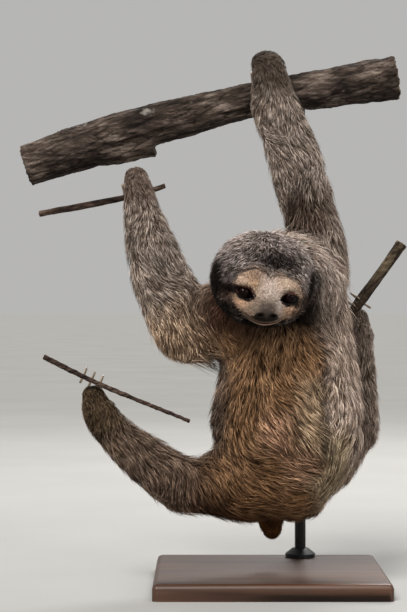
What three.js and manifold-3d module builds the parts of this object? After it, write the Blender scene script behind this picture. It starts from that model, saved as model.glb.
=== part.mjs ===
// A young three-toed sloth, life size, as a museum model: it hangs by its left hand from a branch on a stand.
// Units are millimetres, +Z is up and the animal faces -Y, so its left side is at +X.
// The origin is the middle of the stand's underside. The coat's outer surface is what the body pieces show.
import * as THREE from "three";
import { RoundedBoxGeometry } from "three/addons/geometries/RoundedBoxGeometry.js";
import { mergeVertices } from "three/addons/utils/BufferGeometryUtils.js";
import Module from "manifold-3d";

const wasm = await Module();
wasm.setup();

// ---------------------------------------------------------------- driving sizes

const GAP = 0.35; // left free between neighbouring pieces

const HEAD = { at: [-10, -99, 291], width: 98, height: 90, depth: 84, pitch: 10, roll: 7, yaw: 5 };
const FACE_ASIDE = 1.6; // the hood is fuller on the right, so the face lies this far to the left
const EYE = { radius: 6, apart: 41.6, forward: 31.2, low: 7.4 };

const NAPE = [2, -74, 298];
const NECK_ROOT = [24, -26, 280];
const TRUNK_TOP = [25, -18, 272];
const TRUNK_MIDDLE = [18, -20, 200];
const BELLY = [16, -20, 148];
const RUMP = [4, -18, 99];
const TAIL_ROOT = [0, -6, 72];
const TAIL_TIP = [2.5, 1, 53];

const SHOULDER_LEFT = [46, -14, 290];
const ELBOW_LEFT = [34, -20, 369];
const WRIST_LEFT = [3, -25, 460];
const SHOULDER_RIGHT = [-18, -30, 262];
const ELBOW_RIGHT = [-80, -30, 246];
const WRIST_RIGHT = [-122, -14, 358];

const HIP_LEFT = [50, -4, 118];
const KNEE_LEFT = [92, 43, 142];
const ANKLE_LEFT = [93, 63, 236];
const HIP_RIGHT = [-10, -22, 104];
const KNEE_RIGHT = [-80, -36, 98];
const ANKLE_RIGHT = [-154, -44, 157];

// Half-heights of the claws at the root and the tip, and their width over their height.
const CLAW = { hand: 2.5, foot: 2.0, tip: 0.5, slim: 0.72, apart: 8.5 };

const BRANCH = { from: [-236, 20, 404], to: [124, 20, 490], radius: [20.5, 22, 20, 17.5, 19, 21] };
const SIDE_BRANCH = { from: [133, 55, 330], over: [93, 52, 274], to: [39, 60, 201], radius: [6, 5.2, 5.6] };
const HAND_TWIG = {
  from: [-222, 10, 357],
  over: [-132, 8, 374],
  to: [-100, 9, 384],
  radius: [3.2, 3.4, 2.4],
};
const FOOT_TWIG = {
  from: [-212, -58, 221],
  over: [-166, -58, 198],
  to: [-76, -60, 161],
  radius: [2.6, 2.3, 1.8],
};

const BASE = { width: 220, depth: 210, height: 16, corner: 5 };
const ROD = { foot: [34, 84, 6], top: [30, 21, 473], radius: 5.5 };
const COLLAR = { radius: 15, height: 9 };
const CLAMP_RADIUS = 10;

const COAT = { color: 0x6b5a4c, roughness: 0.95 };
const FACE_COAT = { color: 0x8a7663, roughness: 0.95 };
const EYE_GLOSS = { color: 0x140d0a, roughness: 0.08 };
const HORN = { color: 0xb39a76, roughness: 0.45 };
const BARK = { color: 0x4a3e36, roughness: 0.9 };
const BASE_WOOD = { color: 0x3a2a20, roughness: 0.5 };
const BLACK_STEEL = { color: 0x1c1c1e, roughness: 0.4, metalness: 0.8 };

// ---------------------------------------------------------------- shaping

const vector = (p) => new THREE.Vector3(...p);

// A value that runs smoothly through an evenly spaced list.
function along(list, t) {
  if (!Array.isArray(list)) return list;
  const points = list.map((value, i) => new THREE.Vector2(i, value));
  return new THREE.SplineCurve(points).getPoint(t).y;
}

// The rings of a limb: how far each lies past the path's ends, where on the path, and how full it is.
function ringsOf(caps, capRings, middleRings) {
  const rings = [];
  const cap = (size, t, way) => {
    const steps = size > 0 ? capRings : 1;
    return Array.from({ length: steps }, (_, k) => {
      const turn = (k / steps) * (Math.PI / 2);
      return { past: way * size * Math.cos(turn), t, full: Math.sin(turn) };
    });
  };
  rings.push(...cap(caps[0], 0, -1));
  for (let i = 0; i <= middleRings; i++) rings.push({ past: 0, t: i / middleRings, full: 1 });
  rings.push(...cap(caps[1], 1, 1).reverse());
  return rings;
}

// A closed limb along a smooth line, oval in section, with round ends (or flat ones, where ends is 0).
// wide is the half-width in the across direction and deep the half-width square to it.
function limb(shape, grow = 0) {
  const { line, wide, deep = wide, across = [1, 0, 0], ends = [1, 1], sides = 12, rings = 4 } = shape;
  const points = line.map(vector);
  const path = points.length > 2 ? new THREE.CatmullRomCurve3(points) : new THREE.LineCurve3(...points);
  const caps = [0, 1].map((t) => (ends[t] > 0 ? ends[t] * along(wide, t) : 0) + (ends[t] > 0 ? grow : 0));
  const stations = ringsOf(caps, sides < 10 ? 2 : 3, rings);
  const geometry = new THREE.SphereGeometry(1, sides, stations.length - 1);
  const position = geometry.getAttribute("position");
  stations.forEach(({ past, t, full }, row) => {
    const heading = path.getTangentAt(t);
    const centre = path.getPointAt(t).addScaledVector(heading, past);
    const first = vector(across).addScaledVector(heading, -heading.dot(vector(across))).normalize();
    const second = heading.clone().cross(first);
    const a = (along(wide, t) + grow) * full;
    const b = (along(deep, t) + grow) * full;
    for (let side = 0; side <= sides; side++) {
      const turn = ((side % sides) / sides) * Math.PI * 2;
      const p = centre.clone();
      p.addScaledVector(first, -Math.cos(turn) * a).addScaledVector(second, Math.sin(turn) * b);
      position.setXYZ(row * (sides + 1) + side, p.x, p.y, p.z);
    }
  });
  return solid(geometry);
}

// A closed geometry as a solid that can be joined and cut.
function solid(geometry) {
  const bare = geometry.clone();
  bare.deleteAttribute("normal");
  bare.deleteAttribute("uv");
  const merged = mergeVertices(bare, 1e-4);
  const mesh = new wasm.Mesh({
    numProp: 3,
    vertProperties: new Float32Array(merged.getAttribute("position").array),
    triVerts: new Uint32Array(merged.index.array),
  });
  return new wasm.Manifold(mesh);
}

function geometryOf(made) {
  const { vertProperties, triVerts } = made.getMesh();
  const geometry = new THREE.BufferGeometry();
  geometry.setAttribute("position", new THREE.BufferAttribute(vertProperties, 3));
  geometry.setIndex(new THREE.BufferAttribute(triVerts, 1));
  geometry.computeVertexNormals();
  return geometry;
}

const join = (solids) => solids.reduce((whole, piece) => whole.add(piece));

// ---------------------------------------------------------------- head

const toHead = new THREE.Matrix4().compose(
  vector(HEAD.at),
  new THREE.Quaternion().setFromEuler(
    new THREE.Euler(...[HEAD.pitch, HEAD.roll, HEAD.yaw].map(THREE.MathUtils.degToRad)),
  ),
  new THREE.Vector3(1, 1, 1),
);

// An egg shape given in the head's own frame: its middle and its half-sizes.
function egg(middle, half, grow, sides) {
  const geometry = new THREE.SphereGeometry(1, sides, Math.round(sides * 0.65));
  geometry.rotateX(Math.PI / 2);
  geometry.scale(...half.map((size) => size + grow));
  geometry.translate(...middle);
  return solid(geometry.applyMatrix4(toHead));
}

// The crown's hood of hair, the flat face below it, the short muzzle and the jaw.
function head(grow) {
  const [w, d, h] = [HEAD.width / 2, HEAD.depth / 2, HEAD.height / 2];
  return join([
    egg([0, 0, 2], [w, d, h], grow, 20),
    egg([FACE_ASIDE, -0.5 * d, -0.22 * h], [0.78 * w, 0.48 * d, 0.66 * h], grow, 16),
    egg([FACE_ASIDE, -0.8 * d, -0.42 * h], [0.39 * w, 0.36 * d, 0.3 * h], grow, 12),
    egg([FACE_ASIDE, -0.6 * d, -0.6 * h], [0.46 * w, 0.3 * d, 0.26 * h], grow, 12),
  ]);
}

function eye(side) {
  const middle = [FACE_ASIDE + (side * EYE.apart) / 2, -EYE.forward, -EYE.low];
  return (grow) => egg(middle, [EYE.radius, EYE.radius, EYE.radius], grow, 10);
}

// ---------------------------------------------------------------- body

const neck = {
  line: [NECK_ROOT, [10, -54, 293], NAPE],
  wide: [50, 49, 46],
  deep: [43, 43, 41],
  ends: [0.5, 0.3],
};

const trunk = {
  line: [TRUNK_TOP, TRUNK_MIDDLE, BELLY, RUMP],
  wide: [53, 66, 72, 76, 58],
  deep: [42, 56, 64, 66, 50],
  ends: [0.7, 0.6],
  sides: 18,
  rings: 7,
};

const tail = { line: [TAIL_ROOT, TAIL_TIP], wide: [17, 10.5], deep: [11, 8], sides: 10, rings: 2 };

const armLeft = {
  hand: {
    line: [WRIST_LEFT, [0, -25, 482], [-2, -8, 502], [-2, 20, 501]],
    wide: [24, 19.5, 17, 14],
    deep: [19, 15, 13, 10],
  },
  forearm: {
    line: [WRIST_LEFT, [20.5, -23, 416], ELBOW_LEFT],
    wide: [25, 28, 29.5],
    deep: [19, 24, 27],
  },
  upper_arm: {
    line: [ELBOW_LEFT, [43, -19, 333], SHOULDER_LEFT],
    wide: [26, 31, 32],
    deep: [23, 30, 33],
  },
};

const armRight = {
  hand: {
    line: [WRIST_RIGHT, [-126, -13, 382], [-128, -2, 393], [-128, 12, 390]],
    wide: [20, 17, 13, 11.5],
    deep: [16, 13, 11.5, 9],
  },
  forearm: {
    line: [WRIST_RIGHT, [-106, -21, 302], ELBOW_RIGHT],
    wide: [20.5, 28.5, 33, 35],
    deep: [16, 22, 27, 29],
  },
  upper_arm: {
    line: [ELBOW_RIGHT, SHOULDER_RIGHT],
    wide: [30, 41, 43],
    deep: [25, 34, 38],
    across: [0, 0, 1],
  },
};

const legLeft = {
  foot: { line: [ANKLE_LEFT, [91, 71, 257]], wide: [15.5, 11], deep: [13, 9], ends: [1, 0.9] },
  shank: { line: [ANKLE_LEFT, [94, 54, 190], KNEE_LEFT], wide: [14.5, 17.5, 20], deep: [13, 17, 22] },
  thigh: { line: [KNEE_LEFT, HIP_LEFT], wide: [18, 29, 36], deep: [17, 28, 34], across: [0, 0, 1] },
};

const legRight = {
  foot: {
    line: [ANKLE_RIGHT, [-163.5, -45, 174], [-167, -47, 187]],
    wide: [19.5, 17.5, 11],
    deep: [15, 13, 9],
    across: [0.8, 0, 0.6],
    ends: [1, 0.75],
  },
  shank: {
    line: [ANKLE_RIGHT, [-122, -41, 127], KNEE_RIGHT],
    wide: [19, 24, 27, 30],
    deep: [15, 20, 24, 27],
    across: [0, 0, 1],
  },
  thigh: { line: [KNEE_RIGHT, HIP_RIGHT], wide: [26, 38, 42], deep: [23, 35, 40], across: [0, 0, 1] },
};

// ---------------------------------------------------------------- claws

// One claw bent round a perch: from and to are angles from the perch's upper side, positive towards +Y.
// The point slides inwards from reach[0] to reach[1] from the perch's axis.
function claw({ at, perch, from, to, reach }, offset, size) {
  const STEPS = 5;
  const axis = vector(perch).normalize();
  const back = new THREE.Vector3(0, 1, 0);
  const up = axis.clone().cross(back);
  if (up.z < 0) up.negate();
  const line = [];
  for (let i = 0; i <= STEPS; i++) {
    const turn = THREE.MathUtils.degToRad(THREE.MathUtils.lerp(from, to, i / STEPS));
    const radius = THREE.MathUtils.lerp(reach[0], reach[1], i / STEPS);
    const point = vector(at).addScaledVector(axis, offset);
    point.addScaledVector(back, Math.sin(turn) * radius).addScaledVector(up, Math.cos(turn) * radius);
    line.push(point.toArray());
  }
  return (grow) =>
    limb(
      {
        line,
        wide: [size * CLAW.slim, size * CLAW.slim, size * 0.5, CLAW.tip],
        deep: [size, size * 0.95, size * 0.65, CLAW.tip],
        across: axis.toArray(),
        sides: 6,
        rings: 5,
      },
      grow,
    );
}

const clawSets = {
  hand_left: { at: [-2, 20, 471], perch: [1, 0, 0.22], from: 22, to: 170, reach: [29, 23] },
  hand_right: { at: [-130, 8, 374], perch: [1, 0, 0.24], from: 20, to: 200, reach: [14, 9] },
  foot_left: { at: [88, 52, 266.5], perch: [0.58, 0, 0.81], from: 125, to: -70, reach: [21, 9.5] },
  foot_right: { at: [-168, -58, 199], perch: [1, 0, -0.48], from: 118, to: -60, reach: [14, 6] },
};

// ---------------------------------------------------------------- perches and stand

function stick({ from, over, to, radius }, grow) {
  return limb({ line: [from, over, to], wide: radius, ends: [0, 0], sides: 8, rings: 6 }, grow);
}

// The branch carries the broken foot of a dead side stem along its underside.
function branch(grow) {
  const line = [BRANCH.from, [-115, 20, 443], [-28, 20, 465], BRANCH.to];
  const stem = { line: [[-215, 17, 403], [-111, 14, 423]], wide: [8, 11], ends: [1, 0], sides: 8, rings: 3 };
  const body = limb({ line, wide: BRANCH.radius, ends: [0, 0], sides: 10, rings: 8 }, grow);
  return body.add(limb(stem, grow));
}

function base(grow) {
  const size = [BASE.width, BASE.depth, 2 * BASE.height].map((length) => length + 2 * grow);
  const block = new RoundedBoxGeometry(...size, 1, BASE.corner);
  const belowFloor = new THREE.BoxGeometry(2 * BASE.width, 2 * BASE.depth, 4 * BASE.height);
  belowFloor.translate(0, 0, -2 * BASE.height);
  return solid(block).subtract(solid(belowFloor));
}

const rod = { line: [ROD.foot, ROD.top], wide: ROD.radius, ends: [0, 0], sides: 12, rings: 1 };
const rodAt = (z) => vector(ROD.foot).lerp(vector(ROD.top), (z - ROD.foot[2]) / (ROD.top[2] - ROD.foot[2]));

function collar(grow) {
  const { radius, height } = COLLAR;
  const profile = [
    [0, 0],
    [radius + grow, 0],
    [radius + grow, 0.4 * height],
    [ROD.radius + 2.5 + grow, height + grow],
    [0, height + grow],
  ];
  const geometry = new THREE.LatheGeometry(profile.map(([x, y]) => new THREE.Vector2(x, y)), 16);
  geometry.rotateX(Math.PI / 2);
  const foot = rodAt(BASE.height);
  return solid(geometry.translate(foot.x, foot.y, BASE.height + GAP));
}

function clamp(grow) {
  const geometry = new THREE.SphereGeometry(CLAMP_RADIUS + grow, 10, 6);
  return solid(geometry.translate(...rodAt(SIDE_BRANCH.to[2] - 9).toArray()));
}

// ---------------------------------------------------------------- assembly

// Each row is a node's name, its shape with grow as the only argument, and its finish.
const rows = [
  ["stand_rod", (grow) => limb(rod, grow), BLACK_STEEL],
  ["stand_base", base, BASE_WOOD],
  ["stand_collar", collar, BLACK_STEEL],
  ["perch_branch", branch, BARK],
  ["perch_side_branch", (grow) => stick(SIDE_BRANCH, grow), BARK],
  ["stand_clamp", clamp, BLACK_STEEL],
  ["perch_hand_twig", (grow) => stick(HAND_TWIG, grow), BARK],
  ["perch_foot_twig", (grow) => stick(FOOT_TWIG, grow), BARK],
  ["eye_left", eye(1), EYE_GLOSS],
  ["eye_right", eye(-1), EYE_GLOSS],
];

for (const [place, set] of Object.entries(clawSets)) {
  const size = place.startsWith("hand") ? CLAW.hand : CLAW.foot;
  for (const number of [1, 2, 3]) {
    rows.push([`claw_${place}_${number}`, claw(set, (number - 2) * CLAW.apart, size), HORN]);
  }
}

rows.push(["head", head, FACE_COAT], ["neck", (grow) => limb(neck, grow), COAT]);
const limbs = [
  ["left", armLeft],
  ["right", armRight],
  ["left", legLeft],
  ["right", legRight],
];
for (const [side, sections] of limbs) {
  for (const [section, shape] of Object.entries(sections)) {
    rows.push([`${section}_${side}`, (grow) => limb(shape, grow), COAT]);
  }
}
rows.push(["tail", (grow) => limb(tail, grow), COAT], ["trunk", (grow) => limb(trunk, grow), COAT]);

// Every piece gives way to the ones before it in the list, with a gap, and keeps its largest remainder.
const sloth = new THREE.Group();
const earlier = [];
for (const [name, shape, finish] of rows) {
  const cut = earlier.reduce((left, other) => left.subtract(other), shape(0));
  const [largest] = cut.decompose().sort((a, b) => b.volume() - a.volume());
  earlier.push(shape(GAP));
  const mesh = new THREE.Mesh(geometryOf(largest), new THREE.MeshStandardMaterial(finish));
  mesh.name = name;
  sloth.add(mesh);
}

export default sloth;
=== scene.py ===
"""A young three-toed sloth, life size, as a museum model: it hangs by one hand from a branch on a rod stand.

Tables hold millimetres, and MM turns them into metres. +Z is up. The animal faces -Y, so its left is at +X.
"""
import math

import bmesh
import bpy
import numpy as np
from mathutils import Euler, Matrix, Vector, noise
from mathutils.bvhtree import BVHTree


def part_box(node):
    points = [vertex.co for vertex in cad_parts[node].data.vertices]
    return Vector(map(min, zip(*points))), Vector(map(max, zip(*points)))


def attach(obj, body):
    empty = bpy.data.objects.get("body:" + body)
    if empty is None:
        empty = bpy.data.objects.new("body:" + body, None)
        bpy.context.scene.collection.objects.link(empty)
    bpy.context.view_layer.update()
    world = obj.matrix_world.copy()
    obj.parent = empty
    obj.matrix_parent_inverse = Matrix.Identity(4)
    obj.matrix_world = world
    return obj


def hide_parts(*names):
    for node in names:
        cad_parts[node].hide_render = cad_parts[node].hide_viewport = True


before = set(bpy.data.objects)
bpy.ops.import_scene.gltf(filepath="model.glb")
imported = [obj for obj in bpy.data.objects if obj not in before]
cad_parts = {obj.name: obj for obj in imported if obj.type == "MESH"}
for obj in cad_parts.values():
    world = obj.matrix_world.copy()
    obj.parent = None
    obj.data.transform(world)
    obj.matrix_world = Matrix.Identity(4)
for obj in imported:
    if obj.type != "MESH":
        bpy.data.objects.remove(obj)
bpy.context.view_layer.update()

MM = 0.001
SEED = 7
rng = np.random.default_rng(SEED)
noise.seed_set(SEED)  # without it the bark's noise starts from the clock

FLESH = ["head", "neck", "trunk", "tail"] + [
    f"{section}_{side}"
    for side in ("left", "right")
    for section in ("hand", "forearm", "upper_arm", "foot", "shank", "thigh")
]

# ---------------------------------------------------------------- tones of the coat

# Each tone: the hair's colour along its middle, in 8-bit display values, then root and tip as shares of it.
# The dark roots are partly painted shade deep in the coat, and the pale tips are partly painted light.
TONES = {
    # The chest tone is warm brown, brightened as painted light where the head's shadow falls on it.
    "chest": ((135, 100, 70), 0.33, 1.5),
    "belly": ((110, 80, 60), 0.5, 1.75),
    "brown": ((110, 80, 55), 0.33, 1.5),
    "tan": ((135, 110, 85), 0.45, 1.6),
    "belly_low": ((80, 55, 35), 0.55, 1.6),
    "flank": ((150, 128, 112), 0.4, 1.5),
    "flank_low": ((135, 115, 90), 0.5, 1.55),
    "arm": ((120, 103, 90), 0.4, 1.6),
    # The darker arm tone is painted shade, where the arm meets the shoulder and down the shaded side of the
    # trunk.
    "arm_dark": ((70, 55, 45), 0.5, 1.75),
    "elbow": ((148, 120, 96), 0.4, 1.6),
    # The shoulder tone is dark brown fur, darkened further as the shoulder in shade: partly painted shade.
    "shoulder": ((55, 35, 25), 0.5, 1.6),
    "leg": ((85, 67, 54), 0.55, 1.7),
    "thigh": ((60, 40, 25), 0.7, 1.5),
    # The shank tone is partly painted light: lighter than the fur, to offset the shade on that side.
    "shank": ((122, 105, 92), 0.5, 1.45),
    "foot": ((70, 55, 40), 0.55, 1.5),
    "hand": ((70, 58, 49), 0.65, 1.5),
    "pale_hand": ((105, 88, 77), 0.6, 1.4),
    "crown": ((104, 88, 78), 0.3, 1.9),
    "crown_dark": ((24, 18, 15), 0.33, 3.0),
    "nape": ((148, 127, 112), 0.4, 1.6),
    # This near-black tone is painted shadow: under the chin, in the crease round the head, beside it and
    # under the lip.
    "painted_shadow": ((11, 8, 6), 0.3, 2.6),
    "back": ((120, 100, 85), 0.45, 1.5),
    "tail": ((80, 50, 25), 0.65, 1.45),
    "mask": ((150, 125, 105), 0.7, 1.3),
    "brown_mask": ((120, 95, 80), 0.7, 1.35),
    "bridge": ((200, 185, 175), 0.8, 1.1),
    "cream": ((210, 185, 165), 0.75, 1.1),
    "peach": ((210, 170, 140), 0.75, 1.1),
    "tawny": ((160, 130, 100), 0.7, 1.2),
    "muzzle": ((135, 120, 105), 0.65, 1.3),
    "nose": ((65, 55, 50), 0.45, 1.4),
    "nostril": ((12, 8, 6), 0.5, 1.8),
    "lip": ((55, 30, 22), 0.65, 1.5),
    # The lip rim's tone is pale hair, made paler as a painted highlight where the rim catches light.
    "lip_rim": ((190, 160, 140), 0.7, 1.15),
    "lid": ((100, 60, 50), 0.7, 1.4),
    "stripe": ((16, 10, 8), 0.3, 2.5),
}
# Green and blue change faster than red, so dark roots look redder and pale tips greyer.
CHANNEL_RATES = np.array([1.0, 1.15, 1.3])


def linear(display):
    """8-bit display values as the linear ones that shaders take."""
    c = np.asarray(display, dtype=float) / 255
    return np.where(c <= 0.04045, c / 12.92, ((c + 0.055) / 1.055) ** 2.4)


def tone_steps(middle, root, tip):
    """Root, middle and tip colours of a tone."""
    return linear([np.array(middle) * share**CHANNEL_RATES for share in (root, 1.0, tip)])


TONE_TABLE = {name: tone_steps(*values) for name, values in TONES.items()}

# ---------------------------------------------------------------- lie of the coat

# Each guide: a place on the body, the way the hair lies there, its length, the coat's depth, and its tone.
GUIDES = [
    # The near-black guides here paint shadow under the chin.
    ((-8, -84, 254), (0.0, -0.1, -1.0), 15, 6, "painted_shadow"),
    ((-12, -86, 245), (0.0, -0.1, -1.0), 14, 6, "painted_shadow"),
    ((33, -77, 263), (0.2, -0.1, -1.0), 14, 6, "painted_shadow"),
    ((-8, -88, 229), (0.0, -0.1, -1.0), 18, 7, "chest"),
    ((-30, -76, 242), (0.0, 0.0, -1.0), 18, 7, "shoulder"),
    ((24, -72, 256), (0.1, 0.0, -1.0), 18, 7, "painted_shadow"),
    ((24, -76, 232), (0.1, 0.0, -1.0), 20, 8, "chest"),
    ((0, -74, 218), (0.05, 0.0, -1.0), 24, 9, "chest"),
    ((-42, -62, 222), (0.1, 0.0, -1.0), 24, 9, "chest"),
    ((38, -66, 216), (0.2, 0.0, -1.0), 24, 9, "chest"),
    ((14, -84, 185), (0.55, 0.0, -0.8), 25, 9, "brown"),
    ((-30, -76, 185), (0.2, 0.0, -1.0), 25, 9, "brown"),
    ((37, -78, 182), (0.5, 0.0, -0.85), 24, 9, "tan"),
    ((10, -86, 150), (0.8, 0.0, -0.65), 25, 9, "belly"),
    ((37, -80, 150), (0.75, 0.0, -0.7), 24, 9, "tan"),
    ((-36, -76, 150), (0.55, 0.0, -0.8), 25, 9, "brown"),
    ((-2, -84, 115), (1.0, 0.0, -0.25), 25, 9, "belly_low"),
    ((-44, -70, 112), (0.8, 0.0, -0.5), 25, 9, "brown"),
    ((36, -76, 118), (0.85, 0.0, -0.4), 24, 9, "belly"),
    ((-12, -60, 80), (1.0, 0.0, -0.1), 24, 8, "belly_low"),
    ((30, -58, 86), (1.0, 0.0, 0.05), 24, 8, "belly_low"),
    ((62, -54, 236), (0.05, 0.0, -1.0), 25, 9, "flank"),
    ((60, -62, 205), (-0.4, 0.0, -1.0), 26, 9, "flank"),
    ((60, -66, 170), (-0.5, 0.0, -0.9), 26, 9, "flank"),
    ((76, -52, 185), (-0.2, 0.0, -1.0), 26, 9, "flank"),
    ((62, -62, 132), (-0.5, 0.0, -0.85), 26, 9, "flank_low"),
    ((80, -44, 140), (-0.4, 0.0, -0.9), 26, 9, "flank"),
    ((54, -54, 98), (-0.7, 0.0, -0.6), 24, 8, "flank_low"),
    ((92, -20, 220), (0.0, 0.1, -1.0), 25, 9, "flank"),
    ((94, -20, 160), (-0.1, 0.1, -1.0), 25, 9, "flank"),
    ((80, -10, 105), (-0.5, 0.1, -0.8), 24, 8, "back"),
    # These three paint shade down the shaded side of the trunk.
    ((-52, -36, 205), (0.1, 0.0, -1.0), 25, 9, "arm_dark"),
    ((-60, -40, 165), (0.15, 0.1, -1.0), 22, 7, "arm_dark"),
    ((-62, -20, 140), (0.15, 0.1, -1.0), 22, 7, "arm_dark"),
    ((22, 30, 268), (0.0, 0.2, -1.0), 26, 9, "back"),
    ((18, 44, 205), (0.0, 0.0, -1.0), 28, 9, "back"),
    ((17, 46, 150), (0.0, 0.0, -1.0), 28, 9, "back"),
    ((6, 34, 98), (0.0, -0.2, -1.0), 26, 9, "back"),
    ((66, 28, 200), (0.1, 0.2, -1.0), 26, 9, "back"),
    ((-40, 28, 200), (-0.1, 0.2, -1.0), 26, 9, "back"),
    ((-46, 24, 140), (0.0, 0.2, -1.0), 26, 9, "back"),
    ((2, -14, 62), (0.9, -0.2, 0.0), 20, 7, "thigh"),
    ((2, 0, 55), (0.05, 0.1, -1.0), 8, 1.8, "tail"),
    ((-8, -4, 66), (0.3, 0.1, -1.0), 12, 3, "tail"),
    ((10, -4, 66), (-0.3, 0.1, -1.0), 12, 3, "tail"),
    ((70, -16, 296), (0.2, 0.0, -1.0), 22, 8, "flank"),
    ((62, 12, 290), (0.1, 0.2, -1.0), 22, 8, "back"),
    ((46, -66, 280), (0.5, -0.1, -0.85), 18, 7, "nape"),
    ((48, -58, 310), (0.85, -0.1, -0.35), 16, 7, "nape"),
    ((30, -64, 334), (0.7, -0.1, 0.4), 15, 7, "nape"),
    ((0, -66, 340), (0.3, -0.1, 1.0), 14, 7, "nape"),
    ((-34, -66, 325), (-0.6, -0.1, 0.4), 13, 6, "crown"),
    # These two stand for the shoulder in shade beside the head, partly painted shade.
    ((-48, -66, 296), (-0.5, 0.0, -0.8), 14, 6, "shoulder"),
    ((-44, -62, 262), (-0.1, 0.0, -1.0), 16, 6, "shoulder"),
    ((10, -20, 330), (0.2, 0.6, -0.6), 20, 8, "back"),
    ((-20, -20, 300), (-0.4, 0.5, -0.7), 20, 8, "back"),
]


def along_limb(points, tone, lengths, depths, pull=(0, 0, 0)):
    """Guides along a limb, with the hair lying from its first point to its last, drawn aside by pull."""
    rows = []
    for k, point in enumerate(points):
        ahead = np.subtract(points[min(k + 1, len(points) - 1)], points[max(k - 1, 0)])
        way = ahead / np.linalg.norm(ahead) + np.array(pull)
        share = k / (len(points) - 1)
        length = lengths[0] + (lengths[1] - lengths[0]) * share
        depth = depths[0] + (depths[1] - depths[0]) * share
        rows.append((point, tuple(way), length, depth, tone if isinstance(tone, str) else tone[k]))
    return rows


GUIDES += along_limb(
    [(-2, 12, 501), (-2, -10, 500), (0, -25, 482), (2, -25, 460)],
    ["hand", "hand", "hand", "arm"], (6, 14), (1.5, 5),
)
# Its last two points take painted shade where the arm meets the shoulder.
GUIDES += along_limb(
    [(10, -24, 440), (20, -23, 416), (27, -21, 392), (34, -20, 369), (40, -20, 345), (44, -18, 318)],
    ["arm", "arm", "arm", "arm", "arm_dark", "arm_dark"], (16, 24), (6, 8), (0.15, 0, -0.1),
)
GUIDES += [
    # Painted shade where the arm meets the shoulder.
    ((40, -46, 344), (0.15, 0.0, -1.0), 22, 8, "arm_dark"),
    ((24, -42, 354), (0.15, 0.0, -1.0), 22, 8, "arm_dark"),
    ((60, -40, 330), (0.1, 0.0, -1.0), 22, 8, "arm"),
]
GUIDES += along_limb(
    [(-128, 8, 390), (-128, -4, 391), (-125, -14, 378), (-122, -14, 358)],
    ["pale_hand", "pale_hand", "pale_hand", "arm"], (6, 13), (1.5, 5),
)
GUIDES += along_limb(
    [(-116, -17, 335), (-108, -20, 305), (-96, -25, 275), (-84, -30, 246)],
    ["arm", "arm", "arm", "elbow"], (15, 23), (6, 8), (0, 0, -0.25),
)
GUIDES += along_limb(
    [(-72, -30, 240), (-50, -34, 250), (-26, -32, 262)],
    ["elbow", "shoulder", "shoulder"], (24, 25), (8, 9), (-0.25, 0, -1.4),
)
GUIDES += [
    ((-84, -28, 220), (0.5, 0.0, -1.0), 40, 8, "elbow"),
    ((-68, -32, 214), (0.5, 0.0, -1.0), 42, 8, "elbow"),
]
GUIDES += along_limb(
    [(-167, -47, 187), (-164, -46, 174), (-154, -44, 157)],
    "foot", (4, 11), (1.2, 4.5),
)
GUIDES += along_limb(
    [(-138, -43, 140), (-122, -41, 127), (-100, -38, 110), (-80, -36, 98)],
    "leg", (15, 22), (6, 8), (0, 0, -0.5),
)
GUIDES += along_limb(
    [(-66, -34, 94), (-44, -30, 98), (-24, -26, 102)],
    "thigh", (22, 24), (8, 8), (0, 0, -0.7),
)
GUIDES += along_limb([(91, 71, 257), (93, 66, 242), (94, 60, 225)], "shank", (4, 12), (1.2, 4.5))
GUIDES += along_limb(
    [(94, 57, 205), (94, 53, 180), (92, 46, 155), (88, 36, 140)],
    "shank", (15, 21), (6, 7),
)
GUIDES += along_limb(
    [(84, 32, 134), (66, 16, 126), (50, 0, 118)],
    "leg", (22, 24), (8, 8), (0, 0, -0.5),
)

GUIDE_PLACES = np.array([row[0] for row in GUIDES], dtype=float)
GUIDE_WAYS = np.array([np.array(row[1]) / np.linalg.norm(row[1]) for row in GUIDES])
GUIDE_LENGTHS = np.array([row[2] for row in GUIDES], dtype=float)
GUIDE_DEPTHS = np.array([row[3] for row in GUIDES], dtype=float)
GUIDE_TONES = np.array([TONE_TABLE[row[4]] for row in GUIDES])
GUIDE_BLUR = 60.0  # added to each squared distance, so that no guide takes over at its own place
GUIDE_POWER = 2.5


def guide_shares(points):
    """How much each guide counts at each point, in millimetres. The nearest ones count most."""
    away = (points**2).sum(axis=1)[:, None] + (GUIDE_PLACES**2).sum(axis=1) - 2 * points @ GUIDE_PLACES.T
    shares = 1 / (np.maximum(away, 0) + GUIDE_BLUR) ** GUIDE_POWER
    return shares / shares.sum(axis=1, keepdims=True)


class Waves:
    """A smooth random field: a sum of waves of about the given length, in millimetres."""

    def __init__(self, length, count=7):
        ways = rng.normal(size=(count, 3))
        ways /= np.linalg.norm(ways, axis=1, keepdims=True)
        self.ways = ways * (2 * math.pi / (length * rng.uniform(0.7, 1.5, size=(count, 1))))
        self.starts = rng.uniform(0, 2 * math.pi, size=count)

    def __call__(self, points):
        return np.sin(points @ self.ways.T + self.starts).sum(axis=1) / math.sqrt(len(self.starts) / 2)


SWIRL = Waves(46)
PATCH = Waves(34)
LOCKS = Waves(11, 9)
EDGE = Waves(7)
FLECK = Waves(4.2, 9)

# ---------------------------------------------------------------- head frame and markings

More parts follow.
